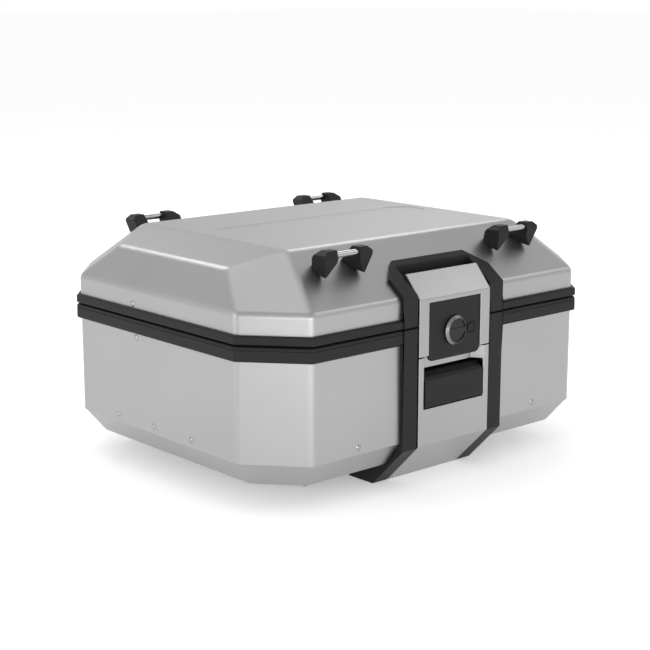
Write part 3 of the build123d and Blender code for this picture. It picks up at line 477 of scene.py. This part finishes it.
# ------------------------------------------------------------------ release lever
# A charcoal flap moulded with its arm. It tips outwards on a thin steel pin and pushes the bolt back.
crafted("release_lever", moulding, 0.8, segments=3, slot="black_moulding")

# ------------------------------------------------------------------ tie-down cleats
# Eight wedge horns screwed to the lid facets carry four polished stainless bars for nets and straps.
# The bars are drawn rod, so the polish runs round them.
bright = Finish("polished_bar", Metallic=1.0)
draw = bright.noise(420, 3, by=(0.04, 1, 1))
bright.set(Base_Color=bright.mix(draw, (0.36, 0.358, 0.355), (0.48, 0.478, 0.472)))
bright.set(Roughness=0.13 + 0.12 * draw)
bright.set(Normal=bright.bump(draw, 0.01, 0.4))
for end in ("front", "rear"):
    for side in ("left", "right"):
        crafted(f"cleat_bar_{end}_{side}", bright, 0.3, crease=40, slot="steel")
        for place in ("inner", "outer"):
            crafted(f"cleat_post_{end}_{side}_{place}", moulding, 0.9, angle=12, segments=3,
                    slot="black_moulding")
for node in ("flap_pin", "lever_pin"):
    crafted(node, bright, 0.2, crease=40, slot="steel")

# ------------------------------------------------------------------ rivets
# Blind aluminium rivets with dome heads hold pan to wall, and straps to walls.
alloy = Finish("rivet_alloy", Metallic=1.0)
dimple = alloy.noise(500, 3)
alloy.set(Base_Color=alloy.mix(dimple, (0.30, 0.30, 0.305), (0.44, 0.44, 0.44)))
alloy.set(Roughness=0.2 + 0.12 * dimple)
alloy.set(Normal=alloy.bump(dimple, 0.02, 0.4))
for node in ("pan_rivets", "strap_rivets_base", "strap_rivets_lid", "hinge_rivets_base", "hinge_rivets_lid"):
    crafted(node, alloy, 0.15, crease=45, slot="rivet")

# ------------------------------------------------------------------ rear hinges
# Two stainless hinges, their leaves stepped over the rims, with knuckles on a headed pin.
for side in ("left", "right"):
    crafted(f"hinge_base_leaf_{side}", bright, 0.35, crease=40, slot="steel")
    crafted(f"hinge_lid_leaf_{side}", bright, 0.35, crease=40, slot="steel")
    crafted(f"hinge_pin_{side}", bright, 0.3, crease=40, slot="steel")

# ------------------------------------------------------------------ mounting foot
# A ribbed black moulding screwed under the pan carries the sockets for the mounting plate's hooks.
crafted("mounting_foot", moulding, 0.8, slot="black_moulding")
crafted("bolt_housing", moulding, 0.8, slot="black_moulding")

# ------------------------------------------------------------------ bolt spring
# A coil of 1 mm spring wire on the bolt's guide pin, which the lever's stroke presses together.
COIL_FROM, COIL_TO, COIL_Z, TURNS = -127.2, -98.5, 14.0, 9


def tube(path, radius, sides=8):
    """Skin of a round wire along a path."""
    loops = []
    for i, point in enumerate(path):
        along = (Vector(path[min(i + 1, len(path) - 1)]) - Vector(path[max(i - 1, 0)])).normalized()
        side = along.cross(Vector((0, 1, 0))).normalized()
        up = side.cross(along)
        ring = [2 * math.pi * k / sides for k in range(sides)]
        loops.append([tuple(Vector(point) + (side * math.cos(a) + up * math.sin(a)) * radius) for a in ring])
    return lofted(loops, closed_ends=True)


COIL_RADIUS, WIRE_RADIUS, STEPS = 3.4, 0.5, 20
coil = []
for i in range(TURNS * STEPS + 1):
    angle = 2 * math.pi * i / STEPS
    y = COIL_FROM + WIRE_RADIUS + (COIL_TO - COIL_FROM - 2 * WIRE_RADIUS) * i / (TURNS * STEPS)
    coil.append((COIL_RADIUS * math.cos(angle), y, COIL_Z + COIL_RADIUS * math.sin(angle)))
spring = piece("bolt_spring_coil", *tube(coil, WIRE_RADIUS), zinc, "base", "bolt_spring",
               crease=60, slot="zinc_steel")
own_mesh(spring)

# ------------------------------------------------------------------ floor mat
# A moulded rubber mat with fine ribs keeps luggage off the screws.
mat = Finish("ribbed_mat", Specular_IOR_Level=0.3)
ribs = mat.wave(110, "X")
dust = mat.noise(30, 4)
mat.set(Base_Color=mat.mix(dust, (0.02, 0.02, 0.021), (0.04, 0.04, 0.041)))
mat.set(Roughness=0.66 + 0.14 * dust)
mat.set(Normal=mat.bump(ribs, 0.6, 0.9))
crafted("floor_mat", mat, 0.5, slot="mat")

# ------------------------------------------------------------------ lid straps
# Nylon webbing on each side stops the lid at its widest. Closed, it folds forward against the wall,
# drawn shorter than real webbing would lie.
HINGE = (207.0, 175.8)
OPEN = math.radians(75)
STRAP_LOW, STRAP_HIGH = (32.0, 154.0), (37.0, 190.5)
STRAP_X, STRAP_WIDTH, STRAP_THICK = 238.75, 18.0, 1.5
webbing = Finish("woven_webbing", Specular_IOR_Level=0.25, Sheen_Weight=0.3)
across = webbing.wave(520, "Z")
along = webbing.wave(340, "Y")
weave = across * along
webbing.set(Base_Color=webbing.mix(weave, (0.018, 0.018, 0.02), (0.06, 0.06, 0.065)))
webbing.set(Roughness=0.72 + 0.15 * weave)
webbing.set(Normal=webbing.bump(weave, 0.25, 0.8))


def turned(y, z, angle):
    """A point turned about the hinge, positive as the lid opens."""
    dy, dz = y - HINGE[0], z - HINGE[1]
    c, s = math.cos(angle), math.sin(angle)
    return HINGE[0] + dy * c + dz * s, HINGE[1] - dy * s + dz * c


def folded(y, z):
    """Where a point of the taut open strap lies when the lid is shut."""
    low, high = 0.0, 1.0
    for _ in range(40):
        share = (low + high) / 2
        rest = turned(y, z, -share * OPEN)
        t = min(max((rest[1] - STRAP_LOW[1]) / (STRAP_HIGH[1] - STRAP_LOW[1]), 0), 1)
        if t * t * (3 - 2 * t) > share:
            low = share
        else:
            high = share
    return rest


start, end = Vector(STRAP_LOW), Vector(turned(*STRAP_HIGH, OPEN))
run = (end - start).normalized()
edge = Vector((-run.y, run.x)) * STRAP_WIDTH / 2
reach = (end - start).length
for side, sign in (("left", -1), ("right", 1)):
    loops = []
    for i in range(61):
        middle = start + run * (-9 + (reach + 18) * i / 60)
        loop = []
        for offset, depth in ((-1, -1), (1, -1), (1, 1), (-1, 1)):
            y, z = folded(*(middle + edge * offset))
            loop.append((sign * STRAP_X + depth * STRAP_THICK / 2, y, z))
        loops.append(loop)
    strap = piece(f"lid_strap_{side}_webbing", *lofted(loops, closed_ends=True), webbing, None,
                  f"lid_strap_{side}", crease=50, slot="webbing")
    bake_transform(strap)

# ------------------------------------------------------------------ studio
# A pale seamless floor that glows faintly, so it stays white out to the horizon. Softboxes hang above
# and behind, and small low ones light up the upright folds. The sky darkens towards the top.
paper = Finish("studio_paper", Specular_IOR_Level=0.1)
fibre = paper.noise(3, 3)
paper.set(Base_Color=paper.mix(fibre, (0.90, 0.90, 0.90), (0.92, 0.92, 0.92)))
paper.set(Roughness=0.9 + 0.05 * fibre, Emission_Color=(1, 1, 1), Emission_Strength=0.31)
ground = bpy.data.meshes.new("floor")
ground.from_pydata([(-40, -40, 0), (40, -40, 0), (40, 40, 0), (-40, 40, 0)], [], [(0, 1, 2, 3)])
ground.materials.append(paper.material)
floor = bpy.data.objects.new("floor", ground)
bpy.context.scene.collection.objects.link(floor)


def softbox(name, place, target, size, power):
    lamp = bpy.data.lights.new(name, "AREA")
    lamp.shape, lamp.size, lamp.size_y, lamp.energy = "RECTANGLE", *size, power
    made = bpy.data.objects.new(name, lamp)
    made.location = place
    made.rotation_euler = (Vector(target) - Vector(place)).to_track_quat("-Z", "Y").to_euler()
    made.visible_camera = False
    bpy.context.scene.collection.objects.link(made)
    return made


LAMPS = [  # name, place, target, size in metres, power in watts
    ("overhead", (-0.3, 0.4, 2.6), (0, 0, 0.1), (2.4, 2.0), 10),
    ("left_side", (-2.6, 0.8, 1.3), (0, 0, 0.15), (1.8, 1.6), 3),
    ("back_right", (1.95, 1.4, 2.0), (0, 0, 0.2), (1.0, 0.6), 7),
    ("low_front", (-0.45, -1.35, 0.3), (0, 0, 0.12), (0.35, 0.5), 3),
    ("low_corner", (-1.05, -0.95, 0.3), (0, 0, 0.12), (0.4, 0.4), 2),
    ("low_left", (-1.5, 0.35, 0.3), (0, 0, 0.12), (0.35, 0.5), 1.5),
    ("front_right", (1.95, -1.4, 1.95), (0, 0, 0.2), (1.0, 0.6), 4),
    ("back_left", (-0.1, 2.2, 2.2), (0, 0, 0.2), (0.8, 0.6), 8),
]
for lamp_row in LAMPS:
    softbox(*lamp_row)

world = bpy.data.worlds.new("studio")
world.use_nodes = True
sky = world.node_tree
backing = sky.nodes["Background"]
ramp = sky.nodes.new("ShaderNodeValToRGB")
split = sky.nodes.new("ShaderNodeSeparateXYZ")
where = sky.nodes.new("ShaderNodeTexCoord")
sky.links.new(where.outputs["Generated"], split.inputs[0])
sky.links.new(split.outputs["Z"], ramp.inputs[0])
sky.links.new(ramp.outputs[0], backing.inputs["Color"])
ramp.color_ramp.elements[0].color = (1, 1, 1, 1)
ramp.color_ramp.elements[1].position = 0.9
ramp.color_ramp.elements[1].color = (0.62, 0.62, 0.62, 1)
for height, level in ((0.15, 0.86), (0.55, 0.8)):
    ramp.color_ramp.elements.new(height).color = (level, level, level, 1)
backing.inputs["Strength"].default_value = 1.0
bpy.context.scene.world = world
bpy.context.scene.view_settings.view_transform = "Standard"

azimuth, pitch = math.radians(41.47), math.radians(12.34)
back = Vector((-math.sin(azimuth) * math.cos(pitch), -math.cos(azimuth) * math.cos(pitch), math.sin(pitch)))
lens = bpy.data.cameras.new("camera")
lens.lens, lens.sensor_width, lens.clip_start, lens.clip_end = 83.68, 36, 0.05, 100
camera = bpy.data.objects.new("camera", lens)
camera.location = (-1.13671, -1.28284, 0.51213)
camera.rotation_euler = (-back).to_track_quat("-Z", "Y").to_euler()
bpy.context.scene.collection.objects.link(camera)
bpy.context.scene.camera = camera
